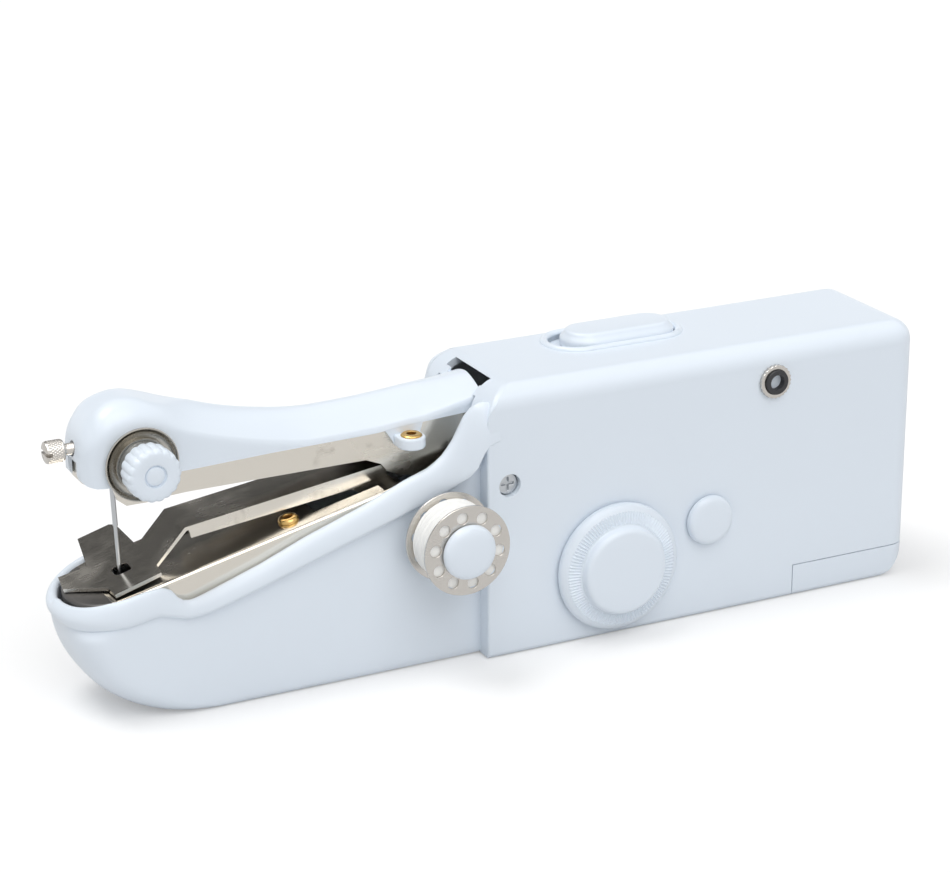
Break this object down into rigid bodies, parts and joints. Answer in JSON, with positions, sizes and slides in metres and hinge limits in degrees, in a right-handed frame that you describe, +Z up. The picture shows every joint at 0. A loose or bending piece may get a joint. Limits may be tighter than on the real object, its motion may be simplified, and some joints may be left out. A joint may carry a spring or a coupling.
{
  "type": "hand-held sewing machine",
  "caption": "Slim hand-held battery sewing machine with a swinging needle arm, presser plate over a steel bed, side bobbin, hand wheel and thread tension dial.",
  "frame": {"origin": "on the flat base, on the middle plane, under the step between nose and grip box", "axes": "+X to the tail, -Y to the side with the hand wheel, +Z up"},
  "size_m": [0.2078, 0.0524, 0.0699],
  "materials": {
    "white_plastic": "smooth moulded plastic, cool white, soft gloss",
    "polished_steel": "bright rolled sheet steel, reflective",
    "zinc_steel": "plain zinc plated steel",
    "nickel": "warm nickel plating",
    "brass": "plain rolled brass eyelet",
    "black_plastic": "matt black moulding",
    "gear_nylon": "natural nylon",
    "cell_jacket": "plain dark jacket, no print",
    "thread": "wound white polyester thread"
  },
  "bodies": {
    "housing": {"front_shell": "white_plastic", "back_cover": "white_plastic", "housing_screws": "zinc_steel", "nose_screw": "zinc_steel", "aa_cells": "cell_jacket", "roof_contacts": "zinc_steel", "motor_can": "zinc_steel", "motor_bracket": "zinc_steel", "switch_body": "black_plastic", "dc_jack": "black_plastic", "jack_nut": "nickel", "bed_plate": "polished_steel", "bed_eyelet": "brass", "presser_pin": "zinc_steel", "presser_spring": "zinc_steel", "arm_pin": "zinc_steel", "bobbin_post": "white_plastic", "bobbin_clip": "zinc_steel", "bobbin_cap": "white_plastic", "looper_pin": "zinc_steel"},
    "battery_cover": {"battery_cover": "white_plastic", "cover_contacts": "zinc_steel"},
    "drive": {"hand_wheel": "white_plastic", "drive_shaft": "zinc_steel", "drive_gear": "gear_nylon"},
    "winder": {"winder_shaft": "zinc_steel", "winder_disc": "white_plastic", "winder_gear": "gear_nylon"},
    "motor_rotor": {"motor_pinion": "gear_nylon"},
    "switch": {"switch_button": "white_plastic"},
    "arm": {"arm_channel": "polished_steel", "arm_cover": "white_plastic", "arm_eyelet": "brass", "needle": "zinc_steel", "needle_clamp": "nickel", "tension_stud": "zinc_steel", "tension_discs": "nickel", "tension_spring": "zinc_steel"},
    "tension_dial": {"tension_knob": "white_plastic"},
    "clamp_screw": {"needle_screw": "nickel"},
    "presser": {"presser_plate": "polished_steel"},
    "looper": {"looper": "zinc_steel"},
    "bobbin": {"bobbin": "nickel", "bobbin_thread": "thread"}
  },
  "joints": [
    {"name": "battery_cover_slide", "type": "slide", "parent": "housing", "child": "battery_cover", "axis": [1, 0, 0], "range_m": [0, 0.034]},
    {"name": "drive_turn", "type": "hinge", "parent": "housing", "child": "drive", "pos_m": [0.0322, -0.0178, 0.0173], "axis": [0, 1, 0], "continuous": true},
    {"name": "winder_turn", "type": "hinge", "parent": "housing", "child": "winder", "pos_m": [0.05651, -0.0178, 0.02395], "axis": [0, 1, 0], "continuous": true},
    {"name": "motor_turn", "type": "hinge", "parent": "housing", "child": "motor_rotor", "pos_m": [0.05338, -0.009, 0.04168], "axis": [0, 1, 0], "continuous": true},
    {"name": "switch_slide", "type": "slide", "parent": "housing", "child": "switch", "axis": [1, 0, 0], "range_m": [-0.0026, 0]},
    {"name": "arm_swing", "type": "hinge", "parent": "housing", "child": "arm", "pos_m": [0.012, 0, 0.044], "axis": [0, 1, 0], "range_deg": [-9.5, 0]},
    {"name": "tension_turn", "type": "hinge", "parent": "arm", "child": "tension_dial", "pos_m": [-0.0764, -0.015, 0.057], "axis": [0, 1, 0], "range_deg": [-180, 180]},
    {"name": "clamp_screw_turn", "type": "hinge", "parent": "arm", "child": "clamp_screw", "pos_m": [-0.092, -0.001, 0.0598], "axis": [1, 0, 0], "range_deg": [-270, 90]},
    {"name": "presser_lift", "type": "hinge", "parent": "housing", "child": "presser", "pos_m": [-0.014, 0, 0.0375], "axis": [0, 1, 0], "range_deg": [0, 3], "stiffness_Nm_per_rad": 0.3, "springref_deg": -8.59},
    {"name": "looper_swing", "type": "hinge", "parent": "housing", "child": "looper", "pos_m": [-0.0655, 0.002, 0.013], "axis": [0, 1, 0], "range_deg": [-19, 0]},
    {"name": "bobbin_turn", "type": "hinge", "parent": "housing", "child": "bobbin", "pos_m": [-0.0101, -0.023, 0.032], "axis": [0, 1, 0], "continuous": true}
  ],
  "couplings": [
    {"joint": "winder_turn", "follows": "drive_turn", "ratio": -1.3333},
    {"joint": "motor_turn", "follows": "drive_turn", "ratio": 6.6667},
    {"joint": "looper_swing", "follows": "arm_swing", "ratio": 2}
  ]
}
